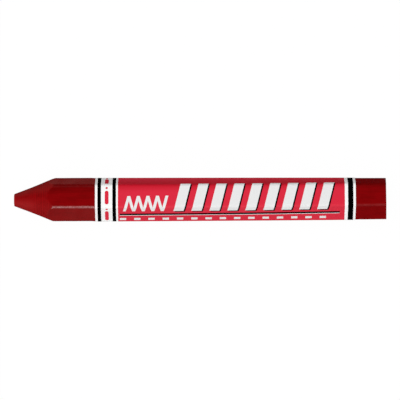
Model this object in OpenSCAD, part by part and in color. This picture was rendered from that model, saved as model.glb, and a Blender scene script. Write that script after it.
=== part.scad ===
// Lumber crayon: a hexagonal bar of hard wax with a turned point, in a printed paper label.
// It lies on one flat along X, with the point towards -X and the table at Z = 0.
// The bar and the label are drawn standing on the point, as sections in the XY plane that are
// extruded along Z. lay() then turns them down along X.

/* [Wax stick] */
// Length over all, from the end of the point to the cut end
stick_len = 117.5; // [100:0.5:150]
// Width across two opposite flats of the bar
across_flats = 12.2; // [10:0.1:16]
// Radius of the six long edges of the bar
edge_r = 1; // [0.5:0.1:1.6]
// Diameter of the flat end of the point, before its rim is rounded
tip_d = 3.8; // [2:0.1:6]
// Distance from the end of the point to where the cone runs out on the six edges
point_len = 12.6; // [8:0.1:20]
// Radius that breaks the rim of the flat end of the point
tip_round = 0.4; // [0.1:0.1:0.8]

/* [Paper label] */
// Distance from the end of the point to the label's front edge
label_start = 25.7; // [21:0.1:32]
// Bare length of the bar behind the label
bare_end = 9.7; // [2:0.1:20]
// Thickness of the paper
paper_t = 0.11; // [0.08:0.01:0.2]
// Width of the glued lap, where the label's last edge lies on its first
lap_w = 3.6; // [2:0.1:4]
// Width of the slope on which the paper climbs onto the lap
lap_ramp = 0.5; // [0.2:0.1:0.8]

/* [Printed rings and field] */
// Depth of the ink, set flush into the paper
ink_t = 0.03; // [0.02:0.01:0.05]
// White margin at the front edge of the label
front_margin = 0.85; // [0.4:0.05:1.5]
// Width of each of the two black rings at the front
front_ring_w = 0.95; // [0.5:0.05:2]
// Width of the white ring between them, which holds the colour swatches
swatch_ring_w = 3.75; // [3:0.05:5]
// White gap between the second black ring and the red field
front_gap = 0.7; // [0.3:0.05:1.5]
// White gap between the red field and the rear black ring
rear_gap = 1.1; // [0.3:0.05:2]
// Width of the rear black ring
rear_ring_w = 1.5; // [0.5:0.05:2]
// White margin at the rear edge of the label
rear_margin = 0.95; // [0.4:0.05:1.5]

/* [Colour swatches in the white ring] */
// Width of a swatch along the label
swatch_w = 1.2; // [0.6:0.1:2.4]
// Length of a swatch around the label, with its round ends
swatch_len = 4.4; // [3:0.1:4.8]
// Diameter of the dot beside a swatch
dot_d = 0.7; // [0.4:0.1:1]
// Gap between a swatch and its dot
dot_gap = 0.5; // [0.2:0.1:0.8]

/* [Figures on the red field] */
// Distance from the start of the red field to the first bar
bars_start = 17.4; // [14:0.1:24]
// Least red margin behind the last bar
bars_end = 2.9; // [1:0.1:12]
// Spacing of the slanted white bars
bar_pitch = 5.65; // [4.6:0.05:12]
// Distance that the bars reach over the upper edge of the top face
bars_over = 0.5; // [0:0.1:2]
// Width of a bar along the label
bar_w = 3.2; // [1.5:0.1:4]
// Height of a bar around the label
bar_h = 9.5; // [6:0.1:10]
// Distance that a bar leans back over its height
bar_lean = 2.4; // [0:0.1:4]
// Offset of the black shadow, backwards and down
shadow_shift = 0.4; // [0.2:0.05:0.6]
// Spacing of the strokes of the zigzag
stroke_pitch = 1.5; // [1:0.05:3]
// Width of a zigzag stroke along the label
stroke_w = 0.9; // [0.5:0.05:1.4]
// Height of the zigzag around the label
zigzag_h = 5.4; // [3:0.1:8]
// Red margin before the zigzag
zigzag_margin = 1.5; // [0.5:0.1:4]
// Least gap between the zigzag and the first bar
zigzag_gap = 1.3; // [0.5:0.1:4]
// Thickness of the black rule and of the white hairline under it
rule_t = 0.35; // [0.2:0.05:0.6]
// Red margin before and behind the rule
rule_margin = 0.8; // [0.4:0.1:4]
// Gap between the bars and the rule
rule_gap = 1.2; // [0.8:0.1:2]
// Spacing of the short white dashes in the last row
dash_pitch = 4.5; // [3.2:0.05:12]
// Length of a dash along the label
dash_w = 2; // [1:0.1:3]
// Thickness of a dash
dash_t = 1; // [0.4:0.1:1.4]
// Gap between the hairline and the dashes
dash_gap = 1.3; // [0.5:0.1:2]

/* [Hidden] */
$fn = 64;

FACES = [-2 : 3];
wax_red = [0.44, 0.03, 0.04];
paper_white = [0.95, 0.95, 0.93];
ink_red = [0.78, 0.13, 0.20];
ink_black = [0.05, 0.05, 0.06];

// Bar: the centres of the edge rounds, the farthest point of the section from the axis, and
// the angle of each small facet that an edge round is made of
apothem = across_flats / 2;
edge_at = (apothem - edge_r) / cos(30);
corner_r = edge_at + edge_r;
round_step = 15;
axis_h = apothem + paper_t;

// Point: the cone's half angle, the centre and turn of the arc that rounds its rim, and where
// the cone has run clear of the bar
tip_r = tip_d / 2;
cone_angle = atan((corner_r - tip_r) / point_len);
round_at = tip_r - tip_round * (1 - sin(cone_angle)) / cos(cone_angle);
round_turn = 90 - cone_angle;
round_steps = 4;
clear_r = corner_r + edge_r;
clear_at = point_len + edge_r / tan(cone_angle);

// Label: width of one face as the print runs round it, and the side that the lap is on
face_w = 2 * ((apothem - edge_r) * tan(30) + (edge_r + paper_t) * sin(30));
label_len = stick_len - label_start - bare_end;
lap_face = -2;
reach = 2 * corner_r;

// Print: where the rings and the red field begin, as distances from the end of the point
first_ring_at = label_start + front_margin;
swatches_at = first_ring_at + front_ring_w;
second_ring_at = swatches_at + swatch_ring_w;
red_at = second_ring_at + front_ring_w + front_gap;
rear_ring_at = label_start + label_len - rear_margin - rear_ring_w;
red_len = rear_ring_at - rear_gap - red_at;

// Figures: places along the label from the end of the point, and places around it upwards
// from the middle of the top face
bars_at = red_at + bars_start;
bars_len = red_len - bars_start - bars_end;
bar_count = 1 + floor((bars_len - bar_w - bar_lean) / bar_pitch);
bars_foot = face_w / 2 + bars_over - bar_h;
zigzag_at = red_at + zigzag_margin;
stroke_count = floor((bars_start - zigzag_margin - zigzag_gap - stroke_w) / stroke_pitch);
rule_at = red_at + rule_margin;
rule_len = red_len - 2 * rule_margin;
rule_foot = bars_foot - rule_gap - rule_t;
hairline_foot = rule_foot - rule_t;
dash_count = 1 + floor((rule_len - dash_w) / dash_pitch);
dashes_foot = hairline_foot - dash_gap - dash_t;

// Turns a shape that stands on the point down along X, with one flat on the table
module lay() {
    translate([-stick_len / 2, 0, axis_h]) rotate([90, 0, 90]) children();
}

function heading(angle) = [cos(angle), sin(angle)];

// Section of the bar, grown by a given amount on every side
module hexagon(grow) {
    polygon([for (corner = [0 : 60 : 300], turn = [-30 : round_step : 30])
        edge_at * heading(corner) + (edge_r + grow) * heading(corner + turn)]);
}

// Section of the wrapped paper with its lap, its outside set in by a given amount. The step
// at the lap's cut edge moves out by as much, so that no ink runs down the cut edge
module wrap(inset) {
    lap_half = lap_w / 2;
    difference() {
        union() {
            hexagon(paper_t - inset);
            rotate(60 * lap_face) translate([0, apothem - inset]) polygon([
                [-lap_half - 2 * lap_ramp, 0],
                [lap_half + inset, 0],
                [lap_half + inset, 2 * paper_t],
                [-lap_half, 2 * paper_t]
            ]);
        }
        hexagon(0);
    }
}

// A full ring of ink round the label
module ink_ring(at, width) {
    translate([0, 0, at]) linear_extrude(width) difference() {
        wrap(0);
        wrap(ink_t);
    }
}

// Carries a flat figure onto one face of the label: its x runs along the label from the end
// of the point, its y up round the label from the middle of the top face
module on_face(face) {
    intersection() {
        rotate([0, 0, 60 * face]) rotate([-90, -90, 0]) linear_extrude(reach)
            translate([0, face * face_w]) children();
        rotate([0, 0, 60 * face]) linear_extrude(stick_len)
            polygon([[0, 0], [reach * tan(30), reach], [-reach * tan(30), reach]]);
    }
}

module around() {
    for (face = FACES) on_face(face) children();
}

// Bold slanted bars in a row
module bars() {
    for (i = [0 : bar_count - 1])
        translate([bars_at + i * bar_pitch, bars_foot]) polygon([
            [0, 0],
            [bar_w, 0],
            [bar_w + bar_lean, bar_h],
            [bar_lean, bar_h]
        ]);
}

module bar_shadows() {
    difference() {
        translate([shadow_shift, -shadow_shift]) bars();
        bars();
    }
}

// One line back and forth, as a hand draws it with a crayon
module zigzag() {
    for (i = [0 : stroke_count - 1])
        translate([zigzag_at + (i + 0.5) * stroke_pitch, bars_foot + zigzag_h / 2])
            mirror([0, i % 2]) polygon([
                [-stroke_pitch / 2, -zigzag_h / 2],
                [stroke_w - stroke_pitch / 2, -zigzag_h / 2],
                [stroke_w + stroke_pitch / 2, zigzag_h / 2],
                [stroke_pitch / 2, zigzag_h / 2]
            ]);
}

// A line across the red field
module line_at(foot) {
    translate([rule_at, foot]) square([rule_len, rule_t]);
}

module dashes() {
    for (i = [0 : dash_count - 1])
        translate([rule_at + i * dash_pitch, dashes_foot]) square([dash_w, dash_t]);
}

// A swatch with round ends and a dot, together in the middle of every face of the white ring
module swatches() {
    group_len = swatch_len + dot_gap + dot_d;
    straight = swatch_len - swatch_w;
    for (face = FACES) translate([swatches_at + swatch_ring_w / 2, -face * face_w]) {
        translate([0, (swatch_len - group_len) / 2]) {
            square([swatch_w, straight], center = true);
            for (side = [-1, 1]) translate([0, side * straight / 2]) circle(d = swatch_w);
        }
        translate([0, (group_len - dot_d) / 2]) circle(d = dot_d);
    }
}

// Half profile of the turned point. The cone runs on past the bar's edges, clear of them
module turned_profile() {
    polygon(concat(
        [[0, stick_len], [0, 0]],
        [for (i = [0 : round_steps])
            [round_at, tip_round] + tip_round * heading(-90 + round_turn * i / round_steps)],
        [[clear_r, clear_at], [clear_r, stick_len]]
    ));
}

module crayon_stick() {
    color(wax_red) lay() intersection() {
        linear_extrude(stick_len) hexagon(0);
        rotate_extrude() turned_profile();
    }
}

module red_ink() {
    difference() {
        ink_ring(red_at, red_len);
        around() {
            bars();
            bar_shadows();
            zigzag();
            line_at(rule_foot);
            line_at(hairline_foot);
            dashes();
        }
    }
    intersection() {
        ink_ring(swatches_at, swatch_ring_w);
        around() swatches();
    }
}

module black_ink() {
    ink_ring(first_ring_at, front_ring_w);
    ink_ring(second_ring_at, front_ring_w);
    ink_ring(rear_ring_at, rear_ring_w);
    intersection() {
        ink_ring(red_at, red_len);
        around() {
            bar_shadows();
            line_at(rule_foot);
        }
    }
}

module paper_label() {
    color(paper_white) lay() difference() {
        translate([0, 0, label_start]) linear_extrude(label_len) wrap(0);
        red_ink();
        black_ink();
    }
}

module red_print() {
    color(ink_red) lay() red_ink();
}

module black_print() {
    color(ink_black) lay() black_ink();
}

crayon_stick();
paper_label();
red_print();
black_print();
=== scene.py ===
"""Lumber crayon: the wax stick with its turned point, the printed paper label and the stage.

Sizes are in metres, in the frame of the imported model: the crayon lies along X with its point
towards -X, on one flat, with the table at Z = 0. Distances along it are counted from the end of
the point. Directions round it are angles from the far side, +Y, up over the top to the near
side, -Y.
"""

import math
from types import SimpleNamespace

import bpy
import numpy as np
from bpy.props import (
    FloatProperty,
    FloatVectorProperty,
    IntProperty,
    PointerProperty,
    StringProperty,
)
from mathutils import Matrix, Vector


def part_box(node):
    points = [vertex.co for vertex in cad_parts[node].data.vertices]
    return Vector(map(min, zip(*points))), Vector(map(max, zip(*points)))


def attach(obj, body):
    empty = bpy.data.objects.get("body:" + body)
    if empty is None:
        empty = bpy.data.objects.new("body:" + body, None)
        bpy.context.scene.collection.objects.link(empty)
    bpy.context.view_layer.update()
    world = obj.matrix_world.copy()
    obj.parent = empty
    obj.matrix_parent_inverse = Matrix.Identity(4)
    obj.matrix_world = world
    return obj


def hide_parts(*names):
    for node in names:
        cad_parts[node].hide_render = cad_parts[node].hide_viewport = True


bl_info = {
    "name": "Lumber crayon",
    "version": (1, 0, 0),
    "blender": (4, 5, 0),
    "location": "View3D > Sidebar > Crayon",
    "description": "Builds a hexagonal lumber crayon in its printed label, with its stage",
    "category": "Add Mesh",
}

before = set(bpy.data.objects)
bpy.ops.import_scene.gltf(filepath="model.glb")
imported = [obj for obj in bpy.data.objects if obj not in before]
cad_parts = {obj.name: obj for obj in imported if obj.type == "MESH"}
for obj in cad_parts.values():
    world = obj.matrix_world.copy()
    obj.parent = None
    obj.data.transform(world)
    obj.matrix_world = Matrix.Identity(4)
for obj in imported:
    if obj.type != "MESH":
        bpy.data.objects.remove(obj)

MM = 0.001
SIDES = 6
FACE_TURN = 2 * math.pi / SIDES
WHITE = (1.0, 1.0, 1.0, 1.0)

# Marks that every point of the stick carries, as shares. The second is partly painted light,
# the third partly painted sheen, and the last painted shade
MARKS = ("polish", "turned", "dust_and_sheen", "painted_shade")

# Directions of the three upper faces and of the far top edge
FAR_FACE = FACE_TURN / 2
TOP_FACE = math.pi / 2
NEAR_FACE = math.pi - FACE_TURN / 2
FAR_EDGE = FACE_TURN

# Rings of the stick's mesh on each stretch, from the end of the point to the cut end, and its
# columns on half an edge round and on a flat
RINGS = {
    "tip": 5, "rim": 7, "cone": 129, "front": 45, "hidden": 33, "rear": 59, "corner": 5, "cut": 9,
}
STICK_COLUMNS = (6, 16)

# Rows of the label's mesh, and its columns on half an edge round, a flat and the lap's slope
LABEL_ROWS = 130
LABEL_COLUMNS = (5, 14)
RAMP_COLUMNS = 7


def length(name, value, description):
    """A length in the panel, given in millimetres and kept in metres."""
    return FloatProperty(
        name=name, description=description, default=value * MM, unit="LENGTH", precision=5
    )


def metres(name, value, description):
    """A large length in the panel, in metres."""
    return FloatProperty(name=name, description=description, default=value, unit="LENGTH")


def angle(name, degrees, description):
    """An angle in the panel, given in degrees."""
    return FloatProperty(
        name=name, description=description, default=math.radians(degrees), subtype="ANGLE"
    )


def share(name, value, description):
    """A plain number in the panel."""
    return FloatProperty(name=name, description=description, default=value, precision=4)


def power(name, watts, description):
    """The power of a lamp in the panel."""
    return FloatProperty(name=name, description=description, default=watts, unit="POWER")


def count(name, value, description):
    """A whole number in the panel."""
    return IntProperty(name=name, description=description, default=value)


def shade(name, code, description):
    """A colour in the panel, as sRGB hex."""
    return StringProperty(name=name, description=f"sRGB hex {description}", default=code)


def linear(code):
    """An sRGB hex colour such as #7D0509 as linear red, green, blue and alpha."""
    parts = [int(code[i : i + 2], 16) / 255 for i in (1, 3, 5)]
    return [c / 12.92 if c <= 0.04045 else ((c + 0.055) / 1.055) ** 2.4 for c in parts] + [1.0]


class CrayonSectionProps(bpy.types.PropertyGroup):
    """The rounded hexagon that stick and label share."""

    across_flats: length("Across flats", 12.2, "Width across two opposite flats")
    edge_radius: length("Edge radius", 1.0, "Radius of the six long edges")
    fit: share("Fit", 0.997, "Size of the section as a share of the packed one")
    taper: share("Taper", 0.029, "Share that the section loses from the taper start to the end")
    taper_start: length("Taper start", 25.0, "Distance from the end of the point where it begins")
    slump: share("Slump", 0.03, "Share by which the soft bar slumped towards the far side")
    twist: angle("Twist", 4.3, "Angle by which the cut end has turned about the bar's axis")
    twist_start: length("Twist start", 64.0, "Distance from the end of the point where it begins")


class CrayonStickProps(bpy.types.PropertyGroup):
    """Sizes and colours of the wax stick."""

    tip_diameter: length("Tip diameter", 3.8, "Diameter of the flat end of the point")
    point_length: length("Point length", 12.6, "Length of the turned cone")
    tip_round: length("Tip round", 0.4, "Radius of the rim of the flat end")
    end_lean: length("End lean", 0.22, "Distance by which the cut leans forward at its top")
    end_round: length("End round", 0.1, "Radius of the rim of the cut end")
    swell: share("Swell", 0.006, "Share by which the bar is thicker in front of the label")
    bend: length("Bend", 0.075, "Distance by which it lies farther back in front of the label")
    hollow: length("Hollow", 0.1, "Depth by which the cone's side is hollow")
    offset: length("Offset", 0.13, "Distance of the cone's axis from the bar's, to the near side")
    softness: length("Softness", 0.12, "Width over which the line round the cone is rounded")
    ring_depth: length("Ring depth", 0.02, "Depth of the rings that turning left on the cone")
    ring_pitch: length("Ring pitch", 0.7, "Spacing of those rings")
    wander: length("Wander", 0.02, "Height of the slow waves of the extruded surface")
    drag: length("Drag", 0.003, "Depth of the fine lines that the die drew along the bar")
    chip_depth: length("Chip depth", 0.03, "Depth of the small dents along the edges")
    clearance: length("Clearance", 0.02, "Depth by which the bar lies back under the label")
    sheltered_turn: angle("Sheltered side", -60.0, "Direction of the least handled side")
    # Direction of the cone's lit side: it takes painted light, and the side away from it painted
    # shade near the base
    lit_side_turn: angle("Clean side", 189.2, "Direction of the side where the cone is cleanest")
    polish_shift: share("Polish shift", 0.03, "Share of a side by which it lies off the edges")
    end_dull: share("Dull end", 0.85, "Share of the polish that is lost towards the cut end")
    seed: count("Seed", 7, "Start of the random numbers")
    colour: shade("Wax colour", "#860307", "of the wax")
    # The darker wax serves both the mottles and the painted shade
    dark: shade("Dark wax", "#730204", "of the darker mottles and stains")
    # The newly cut wax also serves as painted light on the cone's lit side
    fresh_and_lit_wax: shade("Fresh wax", "#9A0A10", "where it was turned")
    # The bloom colour also serves as a painted sheen, most on the far upper face
    dusty_sheen: shade("Dusty wax", "#8A3532", "of the bloom on it")


class CrayonLabelProps(bpy.types.PropertyGroup):
    """Sizes and colour of the paper label."""

    start: length("Start", 25.7, "Distance from the end of the point to the front edge")
    length: length("Length", 82.0, "Length of the label along the bar")
    thickness: length("Thickness", 0.095, "Thickness of the paper")
    glue: length("Glue", 0.005, "Thickness of the film of glue under the paper")
    lap: length("Lap", 3.6, "Width of the glued lap")
    ramp: length("Ramp", 0.5, "Width of the slope up to the lap")
    skew: angle("Skew", -0.05, "Angle by which the sheet was wrapped askew")
    bulge: length("Bulge", 0.015, "Height by which the paper stands off between the edges")
    curl: length("Curl", 0.015, "Height by which the cut edges stand off")
    seed: count("Seed", 3, "Start of the random numbers")
    colour: shade("Paper", "#F5F5F4", "of the paper")


class CrayonPrintProps(bpy.types.PropertyGroup):
    """Sizes and colours of the print. Places along it are counted from the end of the point, and
    places round it from the middle of the top face, up towards the far side."""

    ring_front: length("Front ring", 26.55, "Start of the first black ring")
    ring_second: length("Second ring", 31.25, "Start of the second black ring")
    ring_width: length("Ring width", 0.95, "Width of the two front rings")
    ring_rear: length("Rear ring", 105.35, "Start of the rear black ring")
    ring_rear_width: length("Rear ring width", 1.5, "Width of the rear black ring")
    spread: length("Spread", 0.09, "Distance by which the black ink of the rings spreads")
    field_start: length("Field start", 32.9, "Start of the red field")
    field_length: length("Field length", 71.35, "Length of the red field")
    bars_start: length("Bars start", 50.3, "Start of the first slanted bar")
    bar_pitch: length("Bar pitch", 5.65, "Spacing of the bars")
    bar_width: length("Bar width", 3.2, "Width of a bar along the label")
    bar_height: length("Bar height", 9.5, "Height of a bar round the label")
    bar_lean: length("Bar lean", 2.4, "Distance that a bar leans back")
    bar_count: count("Bars", 9, "Number of slanted bars")
    foot: length("Foot", -5.6, "Foot of the bars and of the zigzag")
    shadow: length("Shadow", 0.4, "Offset of the printed shadow")
    zigzag_start: length("Zigzag start", 34.4, "Start of the zigzag")
    stroke_pitch: length("Stroke pitch", 1.5, "Spacing of the strokes of the zigzag")
    stroke_width: length("Stroke width", 0.9, "Width of a stroke along the label")
    stroke_count: count("Strokes", 9, "Number of strokes")
    zigzag_height: length("Zigzag height", 5.4, "Height of the zigzag round the label")
    rule_start: length("Rule start", 33.42, "Start of the rule")
    rule_length: length("Rule length", 69.27, "Length of the rule")
    rule_foot: length("Rule foot", -7.45, "Foot of the black rule")
    rule_thickness: length("Rule thickness", 0.75, "Thickness of the black rule")
    hairline: length("Hairline", 0.22, "Thickness of the pale line under the rule")
    dash_pitch: length("Dash pitch", 4.5, "Spacing of the dashes")
    dash_width: length("Dash width", 2.0, "Length of a dash")
    dash_foot: length("Dash foot", -9.8, "Foot of the row of dashes")
    dash_thickness: length("Dash thickness", 1.0, "Thickness of a dash")
    swatch_at: length("Swatch place", 29.375, "Middle of the swatches along the label")
    swatch_width: length("Swatch width", 1.2, "Width of a swatch")
    swatch_length: length("Swatch length", 4.4, "Length of a swatch with its round ends")
    swatch_shift: length("Swatch shift", -0.6, "Middle of a swatch from the middle of its face")
    dot_diameter: length("Dot diameter", 0.7, "Diameter of the dot beside a swatch")
    dot_shift: length("Dot shift", 2.45, "Middle of a dot from the middle of its face")
    # The red is painted darker towards the far side as painted shade: where it begins, is darkest
    # and ends
    red_shade_start: length("Deep red near", 0.7, "Place round it where the red begins to deepen")
    red_shade_darkest: length("Deep red far", 3.45, "Place round it where it is deepest")
    red_shade_end: length("Deep red end", 9.8, "Place round it where it is plain red again")
    red: shade("Red ink", "#D7233B", "of the red ink")
    # The deep red is the red under painted shade
    deep: shade("Deep red", "#C30F26", "of the deeper red")
    black: shade("Black ink", "#020202", "of the black ink")
    light: shade("Light figures", "#E5E5E5", "of the pale figures")


class CrayonStageProps(bpy.types.PropertyGroup):
    """Floor, light and camera."""

    floor_size: metres("Floor size", 6.0, "Side of the floor")
    floor_colour: shade("Floor", "#C8C8C8", "of the floor")
    shadow_share: share("Shadow share", 0.05, "Share of the real floor in what the camera sees")
    floor_white: share("Floor white", 1.025, "Strength of the white that the camera sees")
    floor_gloss: share("Floor in gloss", 0.06, "Strength of the floor as shiny surfaces see it")
    key_power: power("Key", 0.8, "Power of the key light")
    key_width: metres("Key width", 0.36, "Width of the key light")
    key_height: metres("Key height", 0.6, "Height of the key light")
    key_distance: metres("Key distance", 0.8, "Distance of both lamps from the crayon")
    key_elevation: angle("Key elevation", 55.0, "Angle of the key light above the table")
    key_turn: angle("Key turn", 25.0, "Angle of both lamps to the left of the viewer")
    sky_low: share("Low sky", 0.12, "Strength of the air on its dim side")
    sky_high: share("High sky", 1.68, "Strength of the air where it is brightest")
    sky_bright: FloatVectorProperty(
        name="Bright side",
        description="Direction of the brightest air",
        default=(-0.35, -0.2, 0.92),
        subtype="DIRECTION",
    )
    glint_power: power("Glint", 13.5, "Power of the lamp that only shines")
    glint_size: metres("Glint size", 0.7, "Side of that lamp")
    glint_elevation: angle("Glint elevation", 20.0, "Angle of that lamp above the table")
    lens: FloatProperty(name="Lens", description="Focal length in mm", default=323.0)
    distance: metres("Distance", 1.134, "Distance of the camera from the crayon")
    elevation: angle("Elevation", 80.8, "Angle of the camera above the table")
    roll: angle("Roll", -0.22, "Turn of the camera about its own axis")
    target: FloatVectorProperty(
        name="Target",
        description="Point in the middle of the picture",
        default=(-0.04 * MM, -0.23 * MM, 6.2 * MM),
        subtype="TRANSLATION",
        precision=5,
    )


def smooth_step(value, low, high):
    """0 below low, 1 above high, and a smooth curve between them."""
    t = np.clip((value - low) / (high - low), 0.0, 1.0)
    return t * t * (3.0 - 2.0 * t)


def soft_min(first, second, width):
    """The smaller of two surfaces, with their meeting line rounded over a width."""
    h = np.clip(0.5 + 0.5 * (second - first) / width, 0.0, 1.0)
    return second + (first - second) * h - width * h * (1.0 - h)


def waves(random, along, turn, number, longest, shortest, turns):
    """A smooth random field between about -1 and 1: a sum of cosines, each with a wavelength
    along the bar between longest and shortest, a whole number of turns round it and a phase."""
    total = np.zeros(np.broadcast(along, turn).shape)
    for _ in range(number):
        wave = 2 * math.pi / (longest * (shortest / longest) ** random.random())
        winding = random.integers(-turns, turns + 1)
        phase = random.random() * 2 * math.pi
        total = total + np.cos(along * wave + turn * winding + phase)
    return total / math.sqrt(number / 2) / 2


def facing(turn, direction, low, high):
    """How far each turn faces a direction: a smooth step of the cosine between them."""
    return smooth_step(np.cos(turn - direction), low, high)


def onward(start, end, number):
    """Evenly spaced numbers from start to end, without the start."""
    return np.linspace(start, end, number + 1)[1:]


def section_flat(section):
    """Width of the flat part of a face, between its two edge rounds."""
    return 2 * (section.across_flats / 2 - section.edge_radius) * math.tan(FACE_TURN / 2)


def section_side(section):
    """Length of one side of the hexagon, from the middle of one edge round to the next."""
    return section_flat(section) + section.edge_radius * FACE_TURN


def face_columns(section, faces, on_round, on_flat):
    """Distances round the hexagon of a mesh's columns: evenly over each edge round and flat of
    every face, from its first edge on."""
    half_flat = section_flat(section) / section_side(section) / 2
    across = np.concatenate([
        np.linspace(-0.5, -half_flat, on_round, endpoint=False),
        np.linspace(-half_flat, half_flat, on_flat, endpoint=False),
        np.linspace(half_flat, 0.5, on_round, endpoint=False),
    ])
    return (faces[:, None] + across).ravel() * section_side(section)


def section_point(q, growth, section):
    """Point of the rounded hexagon at a distance q round it from the middle of the top face.

    The hexagon is six flats joined by arcs of the edge radius. q picks the nearest face and a
    place t on it. Beyond the flat, t turns into an angle on the arc. growth moves the point out
    along the normal. The result is (y, z) about the axis of the bar."""
    flat = section_flat(section)
    side = section_side(section)
    face = -np.round(q / side)
    t = q + face * side
    on_arc = np.maximum(np.abs(t) - flat / 2, 0.0) / section.edge_radius
    reach = section.edge_radius + growth
    a = np.clip(t, -flat / 2, flat / 2) + np.sign(t) * reach * np.sin(on_arc)
    h = section.across_flats / 2 - section.edge_radius + reach * np.cos(on_arc)
    turn = face * FACE_TURN
    return a * np.cos(turn) - h * np.sin(turn), a * np.sin(turn) + h * np.cos(turn)


def section_scale(p, section, stick_length):
    """How large the section is at a distance p from the point's end: the fit, and then less and
    less towards the cut end."""
    done = np.clip((p - section.taper_start) / (stick_length - section.taper_start), 0.0, 1.0)
    return section.fit * (1.0 - section.taper * done)


def settle(y, z, p, section, stick_length, axis):
    """Place a section at a distance p: sheared by the slump, turned about the axis of the bar by
    the twist so far, scaled by the taper, and lifted until its lowest edge is as high as the
    flat was. The twist grows from its start, slowly at first and fastest at the cut end."""
    done = 2 * smooth_step(p, section.twist_start, 2 * stick_length - section.twist_start)
    turn = section.twist * done
    centre = section.across_flats / 2 - section.edge_radius
    lift = centre * (np.cos(turn) + math.tan(FACE_TURN / 2) * np.sin(turn) - 1.0)
    scale = section_scale(p, section, stick_length)
    y = y + section.slump * z
    turned_z = z * np.cos(turn) - y * np.sin(turn)
    return (y * np.cos(turn) + z * np.sin(turn)) * scale, (axis + lift + turned_z) * scale


def mesh_object(name, points, faces, sharp):
    """A smooth shaded object with its origin at the world's, from points and faces, with edges
    left sharp above an angle in degrees."""
    mesh = bpy.data.meshes.new(name)
    mesh.from_pydata(points.tolist(), [], faces)
    mesh.update()
    mesh.shade_smooth()
    mesh.set_sharp_from_angle(angle=math.radians(sharp))
    made = bpy.data.objects.new(name, mesh)
    bpy.context.scene.collection.objects.link(made)
    return made


def grid_quads(index):
    """Quads of a grid of point numbers that is closed round its second way."""
    after = np.roll(index, -1, axis=1)
    return np.stack([index[:-1], after[:-1], after[1:], index[1:]], axis=-1).reshape(-1, 4)


def pole_fan(pole, ring, after):
    """Triangles from a pole to each point of a ring and the one after it."""
    return np.stack([np.full(ring.size, pole), ring, after], axis=1).tolist()


def add_node(tree, kind, inputs=None, **settings):
    """Adds a node, sets its settings, and gives each named input a link or a plain value."""
    made = tree.nodes.new(kind)
    for key, value in settings.items():
        setattr(made, key, value)
    for key, value in (inputs or {}).items():
        if isinstance(value, bpy.types.NodeSocket):
            tree.links.new(value, made.inputs[key])
        else:
            made.inputs[key].default_value = value
    return made


def new_material(name):
    """An empty node material and its output node."""
    material = bpy.data.materials.new(name)
    material.use_nodes = True
    material.node_tree.nodes.clear()
    return material, add_node(material.node_tree, "ShaderNodeOutputMaterial")


def wax_material(stick):
    """Hard filled wax: deep matt red, clouded in slow mottles and drawn out in fine lines along
    the bar, as the die leaves it. The burnished long edges are smoother and catch the light. The
    turned cone is lighter where it was newly cut and carries painted light on its lit side,
    painted shade darkens some faces and edges, and a pale bloom, in part a painted sheen, dulls
    the rest."""
    material, output = new_material("hard_wax_satin")
    tree = material.node_tree
    place = add_node(tree, "ShaderNodeTexCoord").outputs["Object"]

    # Length, width and height in millimetres of the clouds of pigment, of the die's lines and of
    # the grains of clay. Real lines and grains are under 0.05 mm wide and too fine to show, so
    # they are drawn coarser
    patterns = []
    for size, detail, roughness in (
        ((3.333, 1.429, 1.429), 4.0, 0.6),
        ((8.333, 0.3846, 0.3846), 3.0, 0.55),
        ((0.1923, 0.1923, 0.1923), 2.0, 0.5),
    ):
        scaled = add_node(
            tree, "ShaderNodeVectorMath", {0: place, 1: [1 / (side * MM) for side in size]},
            operation="MULTIPLY",
        ).outputs[0]
        noise = {"Vector": scaled, "Scale": 1.0, "Detail": detail, "Roughness": roughness}
        patterns.append(add_node(tree, "ShaderNodeTexNoise", noise).outputs["Fac"])
    clouds, lines, grain = patterns
    # Of these marks, the second is partly painted light, the third partly painted sheen and the
    # last painted shade
    polish, turned, dust_and_sheen, painted_shade = (
        add_node(tree, "ShaderNodeAttribute", attribute_name=name).outputs["Fac"] for name in MARKS
    )

    mixed = add_node(tree, "ShaderNodeMath", {0: clouds, 1: lines}, operation="ADD").outputs[0]
    cloudy = add_node(
        tree, "ShaderNodeMapRange",
        {"Value": mixed, "From Min": 0.7, "From Max": 1.3, "To Min": 0.0, "To Max": 1.0},
    ).outputs["Result"]
    # Painted shade, like the mottles, takes the colour towards the darker wax
    clear = add_node(
        tree, "ShaderNodeMath", {0: cloudy, 1: painted_shade}, operation="SUBTRACT"
    ).outputs[0]
    colour = add_node(
        tree, "ShaderNodeMix", {"Factor": clear, 6: linear(stick.dark), 7: linear(stick.colour)},
        data_type="RGBA", clamp_factor=False,
    ).outputs[2]
    # The newly cut wax colour, also painted light on the cone's lit side, and the bloom colour,
    # also painted sheen
    for mark, code in ((turned, stick.fresh_and_lit_wax), (dust_and_sheen, stick.dusty_sheen)):
        colour = add_node(
            tree, "ShaderNodeMix", {"Factor": mark, 6: colour, 7: linear(code)}, data_type="RGBA"
        ).outputs[2]
    rough, sheen = (
        add_node(
            tree, "ShaderNodeMapRange", {"Value": polish, "To Min": dull, "To Max": burnished}
        ).outputs["Result"]
        for dull, burnished in ((0.5, 0.38), (0.01, 0.42))
    )
    relief = add_node(
        tree, "ShaderNodeMath", {0: lines, 1: 0.5, 2: grain}, operation="MULTIPLY_ADD"
    ).outputs[0]
    bump = add_node(
        tree, "ShaderNodeBump", {"Height": relief, "Strength": 0.35, "Distance": 0.02 * MM}
    ).outputs["Normal"]
    wax = add_node(
        tree, "ShaderNodeBsdfPrincipled",
        {"Base Color": colour, "Roughness": rough, "IOR": 1.44, "Specular IOR Level": sheen,
         "Normal": bump},
    )
    tree.links.new(wax.outputs["BSDF"], output.inputs["Surface"])
    return material


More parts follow.
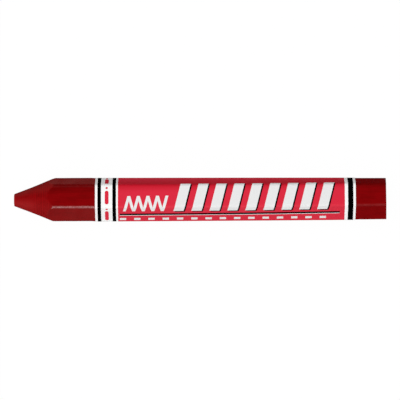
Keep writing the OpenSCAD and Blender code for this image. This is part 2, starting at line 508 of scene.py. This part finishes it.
def stripe(tree, place, start, end):
    """Mask of a stripe: 1 where a place lies between its start and end, else 0."""
    return add_node(
        tree, "ShaderNodeMath", {0: place, 1: (start + end) / 2, 2: (end - start) / 2},
        operation="COMPARE",
    ).outputs[0]


def folded(tree, operation, masks):
    """One mask from several: what all of them share with MULTIPLY, and what any of them holds
    with MAXIMUM."""
    total = masks[0]
    for mask in masks[1:]:
        total = add_node(
            tree, "ShaderNodeMath", {0: total, 1: mask}, operation=operation
        ).outputs[0]
    return total


def shared(tree, *masks):
    """Mask of what several masks share."""
    return folded(tree, "MULTIPLY", masks)


def joined(tree, *masks):
    """Mask of what any of several masks holds."""
    return folded(tree, "MAXIMUM", masks)


def slanted_row(tree, p, q, start, pitch, width, lean, foot, height, number):
    """Mask of a row of slanted strokes: p is drawn back by the lean at the height of q, wrapped
    at the pitch and compared with the width, between foot and top and over the whole row."""
    rise = add_node(
        tree, "ShaderNodeMath", {0: q, 1: -lean / height, 2: foot * lean / height - start},
        operation="MULTIPLY_ADD",
    ).outputs[0]
    drawn = add_node(tree, "ShaderNodeMath", {0: p, 1: rise}, operation="ADD").outputs[0]
    within = add_node(
        tree, "ShaderNodeMath", {0: drawn, 1: pitch, 2: 0.0}, operation="WRAP"
    ).outputs[0]
    return shared(
        tree,
        stripe(tree, within, 0.0, width),
        stripe(tree, q, foot, foot + height),
        stripe(tree, drawn, 0.0, (number - 1) * pitch + width),
    )


def round_ended(tree, p, q, across, up, width, height):
    """Mask of an upright mark with round ends at (across, up): the distance from its straight
    middle line is at most half its width."""
    side = add_node(tree, "ShaderNodeMath", {0: p, 1: across}, operation="SUBTRACT").outputs[0]
    rise = add_node(tree, "ShaderNodeMath", {0: q, 1: up}, operation="SUBTRACT").outputs[0]
    off_middle = add_node(tree, "ShaderNodeMath", {0: rise}, operation="ABSOLUTE").outputs[0]
    straight = (height - width) / 2
    beyond = add_node(
        tree, "ShaderNodeMath", {0: off_middle, 1: straight}, operation="SUBTRACT"
    ).outputs[0]
    past = add_node(tree, "ShaderNodeMath", {0: beyond, 1: 0.0}, operation="MAXIMUM").outputs[0]
    flat = add_node(tree, "ShaderNodeCombineXYZ", {"X": side, "Y": past}).outputs[0]
    away = add_node(tree, "ShaderNodeVectorMath", {0: flat}, operation="LENGTH").outputs["Value"]
    return stripe(tree, away, -width, width / 2)


def in_millimetres(group):
    """The values of a group whose plain numbers are all lengths, with those in millimetres."""
    values = {name: getattr(group, name) for name in type(group).__annotations__}
    return SimpleNamespace(**{
        name: value / MM if isinstance(value, float) else value for name, value in values.items()
    })


def bar_masks(tree, ink, p, q):
    """Masks of the slanted bars, and of their shadows, which lie back and lower."""
    row = (ink.bar_pitch, ink.bar_width, ink.bar_lean)
    return [
        slanted_row(
            tree, p, q, ink.bars_start + shift, *row, ink.foot - shift, ink.bar_height,
            ink.bar_count,
        )
        for shift in (0.0, ink.shadow)
    ]


def zigzag_mask(tree, ink, p, q):
    """Mask of the zigzag: a row of strokes that lean back and one of strokes that lean forward,
    which meet at their feet and tops."""
    pitch, down = ink.stroke_pitch, ink.stroke_count // 2
    rows = ((ink.zigzag_start, pitch, ink.stroke_count - down),
            (ink.zigzag_start + 2 * pitch, -pitch, down))
    return joined(tree, *(
        slanted_row(
            tree, p, q, start, 2 * pitch, ink.stroke_width, lean, ink.foot, ink.zigzag_height,
            number,
        )
        for start, lean, number in rows
    ))


def rule_masks(tree, ink, p, q):
    """Masks of the black rule, and of what is pale below it: a hairline and a row of dashes."""
    along = stripe(tree, p, ink.rule_start, ink.rule_start + ink.rule_length)
    rule = shared(tree, along, stripe(tree, q, ink.rule_foot, ink.rule_foot + ink.rule_thickness))
    hairline = shared(tree, along, stripe(tree, q, ink.rule_foot - ink.hairline, ink.rule_foot))
    number = 1 + int((ink.rule_length - ink.dash_width) / ink.dash_pitch)
    dashes = slanted_row(
        tree, p, q, ink.rule_start, ink.dash_pitch, ink.dash_width, 0.0, ink.dash_foot,
        ink.dash_thickness, number,
    )
    return rule, joined(tree, hairline, dashes)


def ring_mask(tree, ink, p):
    """Mask of the three black rings, widened by the spread of their ink."""
    rings = (
        (ink.ring_front, ink.ring_width),
        (ink.ring_second, ink.ring_width),
        (ink.ring_rear, ink.ring_rear_width),
    )
    return joined(tree, *(
        stripe(tree, p, at - ink.spread, at + width + ink.spread) for at, width in rings
    ))


def red_mask(tree, ink, p, q, face_width):
    """Mask of the red ink: the field, and once on each face a swatch and a dot."""
    on_face = add_node(
        tree, "ShaderNodeMath", {0: q, 1: face_width / 2, 2: -face_width / 2}, operation="WRAP"
    ).outputs[0]
    marks = (
        (ink.swatch_shift, ink.swatch_width, ink.swatch_length),
        (ink.dot_shift, ink.dot_diameter, ink.dot_diameter),
    )
    return joined(
        tree,
        stripe(tree, p, ink.field_start, ink.field_start + ink.field_length),
        *(round_ended(tree, p, on_face, ink.swatch_at, *mark) for mark in marks),
    )


def red_shade_share(tree, ink, q):
    """Share of the painted shade on the red round the label: none near the middle of the top face,
    all where it is darkest, towards the far side, and none again beyond."""
    return shared(tree, *(
        add_node(
            tree, "ShaderNodeMapRange", {"Value": q, "From Min": plain, "From Max": ink.red_shade_darkest},
            interpolation_type="SMOOTHSTEP",
        ).outputs["Result"]
        for plain in (ink.red_shade_start, ink.red_shade_end)
    ))


def label_material(label, ink, face_width):
    """Coated paper with flat print: red field, black rings, rule and shadows, pale figures, and
    painted shade that darkens the red towards the far side. The coat gives a faint sheen that the
    matt black ink lacks. The sheet's own UV map holds millimetres along the label and round it."""
    material, output = new_material("coated_paper_printed")
    tree = material.node_tree
    ink = in_millimetres(ink)
    flat = add_node(tree, "ShaderNodeUVMap", uv_map="sheet").outputs["UV"]

    # Millimetres. Ink frays in steps of some 0.05 mm, and the mottles of coated paper are under
    # 0.1 mm wide. Both are too fine to show, so they are drawn coarser
    fray_size, fray_depth, mottle_size = 0.3333, 0.02, 0.4545
    fray = add_node(
        tree, "ShaderNodeTexNoise", {"Vector": flat, "Scale": 1 / fray_size, "Detail": 2.0},
        noise_dimensions="2D",
    ).outputs["Color"]
    moved = add_node(
        tree, "ShaderNodeVectorMath",
        {0: fray, 1: (2 * fray_depth, 2 * fray_depth, 0.0), 2: (-fray_depth, -fray_depth, 0.0)},
        operation="MULTIPLY_ADD",
    ).outputs[0]
    place = add_node(
        tree, "ShaderNodeVectorMath", {0: flat, 1: moved}, operation="ADD"
    ).outputs[0]
    split = add_node(tree, "ShaderNodeSeparateXYZ", {"Vector": place})
    p, q = split.outputs["X"], split.outputs["Y"]
    mottle = add_node(
        tree, "ShaderNodeTexNoise",
        {"Vector": flat, "Scale": 1 / mottle_size, "Detail": 5.0, "Roughness": 0.7},
        noise_dimensions="2D",
    ).outputs["Fac"]

    bars, shadows = bar_masks(tree, ink, p, q)
    rule, pale = rule_masks(tree, ink, p, q)
    red = red_mask(tree, ink, p, q, face_width)
    # The red field and marks take painted shade towards the far side
    deep = shared(tree, red, red_shade_share(tree, ink, q))
    black = joined(tree, ring_mask(tree, ink, p), shadows, rule)
    light = joined(tree, bars, zigzag_mask(tree, ink, p, q), pale)
    colour = linear(label.colour)
    for mask, code in ((red, ink.red), (deep, ink.deep), (black, ink.black), (light, ink.light)):
        colour = add_node(
            tree, "ShaderNodeMix", {0: mask, 6: colour, 7: linear(code)}, data_type="RGBA"
        ).outputs[2]
    tone = add_node(
        tree, "ShaderNodeMapRange",
        {"Value": mottle, "From Min": 0.3, "From Max": 0.7, "To Min": 0.96, "To Max": 1.03},
    ).outputs["Result"]
    toned = add_node(
        tree, "ShaderNodeVectorMath", {0: colour, 3: tone}, operation="SCALE"
    ).outputs[0]
    bump = add_node(
        tree, "ShaderNodeBump", {"Height": mottle, "Strength": 0.2, "Distance": 0.01 * MM}
    ).outputs["Normal"]
    sheen = add_node(
        tree, "ShaderNodeMapRange", {"Value": black, "To Min": 0.09, "To Max": 0.0}
    ).outputs["Result"]
    coat = add_node(
        tree, "ShaderNodeBsdfPrincipled",
        {"Base Color": toned, "Roughness": 0.55, "IOR": 1.5, "Specular IOR Level": sheen,
         "Normal": bump},
    )
    tree.links.new(coat.outputs["BSDF"], output.inputs["Surface"])
    return material


def bare_paper_material(label):
    """The cut edges and the back of the sheet: white paper with no print and no shine."""
    material, output = new_material("paper_bare_matt")
    tree = material.node_tree
    paper = add_node(
        tree, "ShaderNodeBsdfPrincipled",
        {"Base Color": linear(label.colour), "Roughness": 0.85, "IOR": 1.5},
    )
    tree.links.new(paper.outputs["BSDF"], output.inputs["Surface"])
    return material


def stick_rings(section, stick, stick_length, span):
    """Rings of the stick along its length: place, radius of the cone there, inset and share.

    The flat end grows from its middle, the rim is an arc, the cone widens by its half angle and
    is hollow by half a sine. The bar goes on to the cut end, whose rim is an arc as well, and
    the cut face shrinks to its middle."""
    tip = stick.tip_diameter / 2
    apothem = section.across_flats / 2
    edge = (apothem - section.edge_radius) / math.cos(FACE_TURN / 2) + section.edge_radius
    slope = math.atan2(edge - tip, stick.point_length)
    rim = tip - stick.tip_round * (1 - math.sin(slope)) / math.cos(slope)
    turn = np.linspace(0.0, math.pi / 2 - slope, RINGS["rim"])
    rim_p = stick.tip_round * (1 - np.cos(turn))
    rim_r = rim + stick.tip_round * np.sin(turn)
    scallops_end = 1.12 * stick.point_length
    cut_start = stick_length - stick.end_round
    corner = onward(0.0, math.pi / 2, RINGS["corner"])
    p = np.concatenate([
        np.zeros(RINGS["tip"]),
        rim_p,
        onward(rim_p[-1], scallops_end, RINGS["cone"]),
        onward(scallops_end, span[0], RINGS["front"]),
        onward(*span, RINGS["hidden"]),
        onward(span[1], cut_start, RINGS["rear"]),
        cut_start + stick.end_round * np.sin(corner),
        np.full(RINGS["cut"], stick_length),
    ])
    part = np.concatenate([
        np.linspace(0.12, 0.9, RINGS["tip"]),
        np.ones(p.size - RINGS["tip"] - RINGS["cut"]),
        np.linspace(0.95, 0.1, RINGS["cut"]),
    ])
    inset = np.concatenate([
        np.zeros(p.size - RINGS["corner"] - RINGS["cut"]),
        stick.end_round * (1 - np.cos(corner)),
        np.full(RINGS["cut"], stick.end_round),
    ])
    along = np.clip((p - rim_p[-1]) / (stick.point_length - rim_p[-1]), 0.0, 1.0)
    straight = rim_r[-1] + (p - rim_p[-1]) * math.tan(slope)
    cone = np.where(p > rim_p[-1], straight, np.interp(p, rim_p, rim_r))
    return p, cone - stick.hollow * np.sin(math.pi * along), inset, part


def stick_form(random, section, stick, span, p, cone, inset, q):
    """Radius of the stick at every ring and column, and what its marks follow.

    The radius is the smaller of the rounded hexagon's and of a circle's whose centre lies off
    the bar's axis, with the meeting line softened. Turning rings are taken off the cone. Where
    no label lies, slow waves and fine lines are added and dents are taken off the edges, and
    under the label the bar lies back. The swell of the front ends a little under the label, and
    the finish of the cone is full where it is cut deep enough."""
    y, z = section_point(q, 0.0, section)
    turn = np.arctan2(z, y)
    under_label, cut_depth = 2 * MM, 0.2 * MM
    front = 1.0 - smooth_step(p, span[0], span[0] + under_label)
    hexagon = np.hypot(y, z) * (1.0 + stick.swell * front) - inset
    away = turn - math.pi
    circle = stick.offset * np.cos(away) + np.sqrt(cone**2 - (stick.offset * np.sin(away)) ** 2)
    radius = soft_min(hexagon, circle, stick.softness)
    on_cone = smooth_step(hexagon - circle, 0.0, cut_depth)
    near_base = smooth_step(p, 4 * MM, 9 * MM)

    along = p / MM
    uneven = waves(random, along, turn, number=6, longest=9.0, shortest=2.0, turns=2)
    rings = np.cos(2 * math.pi * p / stick.ring_pitch + 2 * uneven)
    radius = radius - stick.ring_depth * on_cone * (0.3 + 0.7 * near_base) * (0.5 + 0.5 * rings)
    slow = waves(random, along, turn, number=18, longest=30.0, shortest=3.0, turns=4)
    fine = waves(random, along, turn, number=40, longest=60.0, shortest=8.0, turns=60)
    bare = 1.0 - smooth_step(p, span[0], span[0] + MM) * smooth_step(-p, -span[1], MM - span[1])
    radius = radius + bare * (stick.wander * slow * 0.5 + stick.drag * fine * (1 - on_cone))
    radius = radius - (1.0 - bare) * stick.clearance
    knocks = waves(random, along, turn, number=24, longest=6.0, shortest=0.9, turns=9)
    at_edge = smooth_step(np.abs((q / section_side(section) + 0.5) % 1.0 - 0.5), 0.36, 0.5)
    radius = radius - stick.chip_depth * smooth_step(knocks, 0.55, 1.1) * at_edge * bare
    return radius, SimpleNamespace(
        turn=turn,
        front=front,
        on_cone=on_cone,
        near_base=near_base,
        rings=rings,
        slow=slow,
        behind=smooth_step(p, *span),
        # The cone's lit side, for its painted light and sheen, and for the painted shade away from
        # it
        clean=facing(turn, stick.lit_side_turn, -0.5, 0.6),
        far_face=facing(turn, FAR_FACE, 0.87, 0.94),
        near_face=facing(turn, NEAR_FACE, 0.86, 0.93),
    )


def polish_mark(random, section, stick, p, q, form):
    """How far each point is burnished: on the edge rounds, most opposite the side that is least
    handled, less towards the cut end, and in spots more or less."""
    held = (0.5 - 0.5 * np.cos(form.turn - stick.sheltered_turn)) ** 8
    side = section_side(section)
    half_flat = section_flat(section) / side / 2
    off_middle = np.abs((q / side + stick.polish_shift + 0.5) % 1.0 - 0.5)
    on_edge = smooth_step(off_middle, half_flat - 0.01, half_flat + 0.03)
    fade = 1.0 - stick.end_dull * form.behind
    spots = waves(random, p / MM, form.turn, number=12, longest=14.0, shortest=1.5, turns=4)
    worn = 0.9 + 0.25 * spots
    return np.clip(on_edge * held * fade * worn * (1 - form.on_cone), 0.0, 1.0)


def fresh_and_lit_mark(stick, p, form):
    """How much of the newly cut wax colour each point takes: a little over the whole cone, more
    on the rings and wholly on the flat end, where it was turned; and painted light on the cone's
    lit side, all the way near the point and in a narrow band near its base."""
    # Besides the newly cut wax, painted light on the cone's lit side: near the point and in a
    # narrow band near the base
    narrow = facing(form.turn, stick.lit_side_turn, 0.7, 1.0)
    turned = 0.06 + (0.6 - 0.5 * form.near_base) * form.clean + 0.35 * form.near_base * narrow
    turned = form.on_cone * (turned + (0.08 + 0.2 * form.near_base) * form.rings)
    return np.where(p <= stick.tip_round, 1.0, turned)


def dust_and_sheen_mark(form):
    """How far the pale bloom covers each point in front of the label, as real bloom and as a
    painted sheen: most of the far upper face, some of the near one and of the cone's far side,
    and a little of its lit side."""
    # On the cone, painted sheen on its far side and a little on its lit side
    far_cone = facing(form.turn, FAR_FACE, 0.5, 1.0) * form.on_cone
    lit_cone = form.clean * form.on_cone * (1.0 - 0.5 * form.near_base)
    dust_and_sheen = (0.7 * form.far_face + 0.25 * form.near_face) * (1.0 - form.on_cone)
    dust_and_sheen = dust_and_sheen + 0.4 * far_cone * (1.0 - 0.4 * form.near_base) + 0.18 * lit_cone
    return dust_and_sheen * form.front * (0.8 + 0.2 * form.slow)


def painted_shade_mark(form):
    """How much painted shade each point takes: on the top face along its far edge, in a wide band
    in front of the label that gives way to a narrow one behind it, on the upper side faces behind
    the label, and near the cone's base away from its lit side."""
    painted_shade = (0.9 - 0.7 * form.behind) * facing(form.turn, FAR_EDGE, 0.89, 0.995)
    painted_shade = painted_shade + (0.2 + 0.6 * form.behind) * facing(form.turn, FAR_EDGE, 0.985, 0.9995)
    painted_shade = painted_shade * facing(form.turn, TOP_FACE, 0.8, 0.87)
    painted_shade = painted_shade + form.behind * (0.45 * form.far_face + 0.25 * form.near_face)
    painted_shade = painted_shade * (0.9 + 0.1 * form.slow) * (1.0 - form.on_cone)
    return painted_shade + 0.4 * form.on_cone * form.near_base * (1.0 - form.clean)


def stick_surface(section, stick, stick_length, axis, span):
    """Points and faces of the stick, and the marks of its surface at every point, some of them
    painted light, sheen and shade.

    Every ring of the form is scaled by its share and settled on the table. In front of the
    label the bar lies farther back, and near the cut end its upper half leans forward in
    proportion to its height. Two poles close the ends."""
    random = np.random.default_rng(stick.seed)
    rings = stick_rings(section, stick, stick_length, span)
    p, cone, inset, part = (values[:, None] for values in rings)
    q = face_columns(section, np.arange(SIDES), *STICK_COLUMNS)[None, :]
    radius, form = stick_form(random, section, stick, span, p, cone, inset, q)
    polish = polish_mark(random, section, stick, p, q, form)

    across, up = radius * part * np.cos(form.turn), radius * part * np.sin(form.turn)
    settled_y, settled_z = settle(across, up, p, section, stick_length, axis)
    bend_end, lean_start = span[0] - 1.5 * MM, span[1] + 4 * MM
    bent = stick.bend * (1.0 - smooth_step(p, bend_end, span[0]))
    near_cut = smooth_step(p, lean_start, stick_length - 2 * stick.end_round)
    lean = stick.end_lean * near_cut * np.maximum(up, 0.0) / (section.across_flats / 2)
    points = np.stack([p - lean, settled_y + bent, settled_z], axis=-1)

    index = np.arange(radius.size).reshape(radius.shape)
    first, last = index[0], index[-1]
    faces = grid_quads(index[:, ::-1]).tolist()
    faces += pole_fan(index.size, first, np.roll(first, -1))
    faces += pole_fan(index.size + 1, np.roll(last, -1), last)
    poles = np.stack([points[0].mean(axis=0), points[-1].mean(axis=0)])
    marks = (polish, fresh_and_lit_mark(stick, p, form), dust_and_sheen_mark(form), painted_shade_mark(form))
    at_poles = ((0.0, 0.0), (1.0, 0.0), (0.0, 0.0), (0.0, 0.0))
    return np.concatenate([points.reshape(-1, 3), poles]), faces, {
        name: np.append(values, ends) for name, values, ends in zip(MARKS, marks, at_poles)
    }


def sheet_columns(section, label, first, last):
    """Distances round the sheet of its columns: those of the faces that it covers, and more on
    the slope up to the lap and at both cut edges."""
    around = face_columns(section, np.arange(-4, 3), *LABEL_COLUMNS)
    ramp = np.linspace(last - label.lap - label.ramp, last - label.lap, RAMP_COLUMNS)
    around = np.unique(np.round(np.concatenate([around, ramp, [first, last]]), 7))
    return around[(around >= first) & (around <= last)]


def sheet_rows(label):
    """Places along the sheet of its rows: closer and closer towards its two ends, by a mix of an
    even spacing and of a sine's."""
    even = np.linspace(-1.0, 1.0, LABEL_ROWS)
    eased = np.sin(even * math.pi / 2) * 0.35 + even * 0.65
    return label.start + label.length * (eased + 1) / 2


def sheet_faces(index, columns):
    """Faces of the sheet, the printed ones first, and how many those are. The first columns of
    index are those of its front, and the rest are those of its back in the reverse order."""
    around = grid_quads(index)
    printed = np.tile(np.arange(index.shape[1]) < columns - 1, index.shape[0] - 1)
    ends = []
    for row, order in ((0, -1), (-1, 1)):
        outer, inner = index[row, :columns], index[row, columns:][::-1]
        strip = np.stack([outer[:-1], outer[1:], inner[1:], inner[:-1]], axis=-1)
        ends.append(strip[:, ::order])
    faces = np.concatenate([around[printed], around[~printed], *ends])[:, ::-1]
    return faces, int(printed.sum())


def sheet_surface(section, label, stick_length, axis):
    """Points, faces, sheet coordinates and number of printed faces of the wrapped label.

    The sheet is a grid over the distance along it and the distance round it. It is turned a
    little in its own plane, and then every point goes to the rounded hexagon at its distance
    round, grown by the paper and, on the lap, by the slope up to the first edge. Back and front
    are two such grids, joined along the four cut edges. Paper does not shrink with the taper, so
    the printed distance round is counted from the first edge on the tapered bar."""
    random = np.random.default_rng(label.seed)
    side = section_side(section)
    first, last = -4 * side - label.lap / 2, 2 * side + label.lap / 2
    sheet_p, sheet_q = np.meshgrid(
        sheet_rows(label), sheet_columns(section, label, first, last), indexing="ij"
    )
    middle = label.start + label.length / 2
    turned_p = middle + (sheet_p - middle) * math.cos(label.skew) - sheet_q * math.sin(label.skew)
    turned_q = sheet_q * math.cos(label.skew) + (sheet_p - middle) * math.sin(label.skew)
    turn = turned_q / side * FACE_TURN
    climbed = smooth_step(sheet_q, last - label.lap - label.ramp, last - label.lap)
    opposite = SIDES / 2
    from_table = opposite - np.abs((turned_q / side + opposite) % SIDES - opposite)
    off_table = smooth_step(from_table, 0.45, 0.9)
    on_face = (turned_q / side + 0.5) % 1.0 - 0.5
    millimetres = sheet_p / MM
    ripple = waves(random, millimetres, turn, number=22, longest=25.0, shortest=2.5, turns=5)
    from_edge = np.minimum(sheet_p - label.start, label.start + label.length - sheet_p)
    uneven = waves(random, millimetres, turn, number=9, longest=9.0, shortest=4.0, turns=7)
    curl_reach = 0.5 * MM
    curl = np.exp(-from_edge / curl_reach) * (1 + uneven)
    stand = label.bulge * np.cos(math.pi * on_face) ** 2 + 0.35 * label.bulge * (1 + ripple)
    stand = (stand + label.curl * curl) * off_table

    def placed(growth):
        """Points of the grid, out from the bare bar by a distance."""
        y, z = section_point(turned_q, growth, section)
        y, z = settle(y, z, turned_p, section, stick_length, axis)
        return np.stack([turned_p, y, z], axis=-1)

    front = placed(label.glue + label.thickness * (1 + climbed) + stand)
    back = placed(label.glue + label.thickness * climbed + stand)
    points = np.concatenate([front, back[:, ::-1]], axis=1)
    index = np.arange(points.shape[0] * points.shape[1]).reshape(points.shape[:2])
    faces, printed = sheet_faces(index, front.shape[1])
    shrink = section_scale(sheet_p, section, stick_length) / section.fit
    stretch = np.array([1.0, label_face_width(section, label) / side]) / MM
    sheet = np.stack([sheet_p, first + (sheet_q - first) * shrink], axis=-1) * stretch
    sheet = np.concatenate([sheet, sheet[:, ::-1]], axis=1).reshape(-1, 2)
    return points.reshape(-1, 3), faces, sheet, printed


def label_face_width(section, label):
    """Width of one face of the label as the print is measured round it: straight across its
    flat part and half an edge round at each end, out at the face of the paper."""
    reach = section.edge_radius + label.glue + label.thickness
    return section_flat(section) + 2 * reach * math.sin(FACE_TURN / 2)


def looking(place, towards, roll):
    """Matrix of an object at a place that looks along its -Z towards a point, rolled about it."""
    turn = (Vector(towards) - Vector(place)).to_track_quat("-Z", "Y").to_matrix().to_4x4()
    return Matrix.Translation(place) @ turn @ Matrix.Rotation(roll, 4, "Z")


def softbox(name, watts, stage, elevation, **settings):
    """An area lamp to the left of the viewer, at an elevation, that shines on the crayon."""
    data = bpy.data.lights.new(name, "AREA")
    data.energy = watts
    for key, value in settings.items():
        setattr(data, key, value)
    level, turn = math.cos(elevation), stage.key_turn
    away = Vector((-math.sin(turn) * level, -math.cos(turn) * level, math.sin(elevation)))
    made = bpy.data.objects.new(name, data)
    made.matrix_world = looking(away * stage.key_distance, (0.0, 0.0, 0.0), 0.0)
    bpy.context.scene.collection.objects.link(made)
    return made


def stage_camera(stage):
    """The camera, at its distance and elevation from the target on the near side."""
    data = bpy.data.cameras.new("camera")
    data.lens = stage.lens
    data.sensor_width = 36.0
    data.clip_start, data.clip_end = 0.01, 20.0
    camera = bpy.data.objects.new("camera", data)
    target = Vector(stage.target)
    back = Vector((0.0, -math.cos(stage.elevation), math.sin(stage.elevation)))
    camera.matrix_world = looking(target + back * stage.distance, target, stage.roll)
    bpy.context.scene.collection.objects.link(camera)
    return camera


def floor_material(stage):
    """Pale matt floor. The camera sees most of it as plain white, and a share of the real floor
    keeps the crayon's shadow. Diffuse rays see the real floor, and glossy ones a dim white."""
    material, output = new_material("floor_pale_matt")
    tree = material.node_tree
    ray = add_node(tree, "ShaderNodeLightPath").outputs
    white_share = add_node(
        tree, "ShaderNodeMath", {0: ray["Is Camera Ray"], 1: 1.0 - stage.shadow_share},
        operation="MULTIPLY",
    ).outputs[0]
    real = add_node(
        tree, "ShaderNodeBsdfDiffuse", {"Color": linear(stage.floor_colour)}
    ).outputs["BSDF"]
    white, dim = (
        add_node(
            tree, "ShaderNodeEmission", {"Color": WHITE, "Strength": strength}
        ).outputs["Emission"]
        for strength in (stage.floor_white, stage.floor_gloss)
    )
    lit = add_node(
        tree, "ShaderNodeMixShader", {0: ray["Is Glossy Ray"], 1: real, 2: dim}
    ).outputs[0]
    shown = add_node(tree, "ShaderNodeMixShader", {0: white_share, 1: lit, 2: white})
    tree.links.new(shown.outputs[0], output.inputs["Surface"])
    material.cycles.emission_sampling = "NONE"
    return material


def sky_world(stage):
    """Studio air: white, brightest above the viewer's shoulder and dim on the far side."""
    world = bpy.data.worlds.new("studio_air")
    world.use_nodes = True
    tree = world.node_tree
    tree.nodes.clear()
    way = add_node(tree, "ShaderNodeTexCoord").outputs["Generated"]
    bright = Vector(stage.sky_bright).normalized()
    towards = add_node(
        tree, "ShaderNodeVectorMath", {0: way, 1: bright}, operation="DOT_PRODUCT"
    ).outputs["Value"]
    strength = add_node(
        tree, "ShaderNodeMapRange",
        {"Value": towards, "From Min": 0.2, "From Max": 1.0, "To Min": stage.sky_low,
         "To Max": stage.sky_high},
    ).outputs["Result"]
    air = add_node(tree, "ShaderNodeBackground", {"Color": WHITE, "Strength": strength})
    output = add_node(tree, "ShaderNodeOutputWorld")
    tree.links.new(air.outputs["Background"], output.inputs["Surface"])
    return world


def bar_place(section):
    """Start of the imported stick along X, its length, and the height of its axis."""
    low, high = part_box("crayon_stick")
    return low.x, high.x - low.x, low.z + section.across_flats / 2


class CRAYON_OT_build_stick(bpy.types.Operator):
    """Build the wax stick with its turned point"""

    bl_idname = "crayon.build_stick"
    bl_label = "Build the wax stick"

    def execute(self, context):
        section, stick = context.scene.crayon_section, context.scene.crayon_stick
        label = context.scene.crayon_label
        start, stick_length, axis = bar_place(section)
        span = (label.start, label.start + label.length)
        points, faces, marks = stick_surface(section, stick, stick_length, axis, span)
        points[:, 0] += start
        made = mesh_object("wax_stick", points, faces, 40)
        for name, values in marks.items():
            made.data.attributes.new(name, "FLOAT", "POINT").data.foreach_set("value", values)
        made.data.materials.append(wax_material(stick))
        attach(made, "root")
        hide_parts("crayon_stick")
        return {"FINISHED"}


class CRAYON_OT_wrap_label(bpy.types.Operator):
    """Wrap the printed paper label round the stick"""

    bl_idname = "crayon.wrap_label"
    bl_label = "Wrap the label"

    def execute(self, context):
        section, label = context.scene.crayon_section, context.scene.crayon_label
        start, stick_length, axis = bar_place(section)
        points, faces, sheet, printed = sheet_surface(section, label, stick_length, axis)
        points[:, 0] += start
        made = mesh_object("wrapped_label", points, faces.tolist(), 35)
        coordinates = made.data.uv_layers.new(name="sheet")
        coordinates.uv.foreach_set("vector", sheet[faces.ravel()].ravel())
        width = label_face_width(section, label) / MM
        made.data.materials.append(label_material(label, context.scene.crayon_print, width))
        made.data.materials.append(bare_paper_material(label))
        bare = (np.arange(len(faces)) >= printed).astype(np.int32)
        made.data.polygons.foreach_set("material_index", bare)
        made.data.update()
        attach(made, "root")
        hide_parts("paper_label", "red_print", "black_print")
        return {"FINISHED"}


class CRAYON_OT_set_stage(bpy.types.Operator):
    """Set the floor, the light and the camera"""

    bl_idname = "crayon.set_stage"
    bl_label = "Set the stage"

    def execute(self, context):
        stage = context.scene.crayon_stage
        corners = np.array([[-1, -1, 0], [1, -1, 0], [1, 1, 0], [-1, 1, 0]])
        floor = mesh_object("floor", corners * stage.floor_size / 2, [[0, 1, 2, 3]], 40)
        floor.data.materials.append(floor_material(stage))
        key = softbox(
            "key_softbox", stage.key_power, stage, stage.key_elevation,
            shape="RECTANGLE", size=stage.key_width, size_y=stage.key_height,
        )
        glint = softbox(
            "glint_softbox", stage.glint_power, stage, stage.glint_elevation,
            shape="SQUARE", size=stage.glint_size,
        )
        glint.visible_diffuse = False
        context.scene.world = sky_world(stage)
        camera = stage_camera(stage)
        context.scene.camera = camera
        context.scene.view_settings.view_transform = "Standard"
        return {"FINISHED"}


class CRAYON_PT_panel(bpy.types.Panel):
    """Sidebar panel with the sizes, the colours and the steps"""

    bl_idname = "CRAYON_PT_panel"
    bl_label = "Lumber crayon"
    bl_space_type = "VIEW_3D"
    bl_region_type = "UI"
    bl_category = "Crayon"

    def draw(self, context):
        for attribute, kind in GROUPS.items():
            box = self.layout.box()
            box.label(text=kind.bl_rna.name)
            for name in kind.__annotations__:
                box.prop(getattr(context.scene, attribute), name)
        for step in STEPS:
            self.layout.operator(step.bl_idname)


GROUPS = {
    "crayon_section": CrayonSectionProps,
    "crayon_stick": CrayonStickProps,
    "crayon_label": CrayonLabelProps,
    "crayon_print": CrayonPrintProps,
    "crayon_stage": CrayonStageProps,
}
STEPS = (CRAYON_OT_build_stick, CRAYON_OT_wrap_label, CRAYON_OT_set_stage)


def register():
    """Register the classes and give every scene the groups of properties."""
    for kind in (*GROUPS.values(), *STEPS, CRAYON_PT_panel):
        bpy.utils.register_class(kind)
    for attribute, kind in GROUPS.items():
        setattr(bpy.types.Scene, attribute, PointerProperty(type=kind))


def unregister():
    """Take the groups and the classes away again."""
    for attribute in GROUPS:
        delattr(bpy.types.Scene, attribute)
    for kind in reversed((*GROUPS.values(), *STEPS, CRAYON_PT_panel)):
        bpy.utils.unregister_class(kind)


def main():
    """Build the pieces and the stage."""
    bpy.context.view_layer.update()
    register()
    bpy.ops.crayon.build_stick()
    bpy.ops.crayon.wrap_label()
    bpy.ops.crayon.set_stage()


if __name__ == "__main__":
    main()
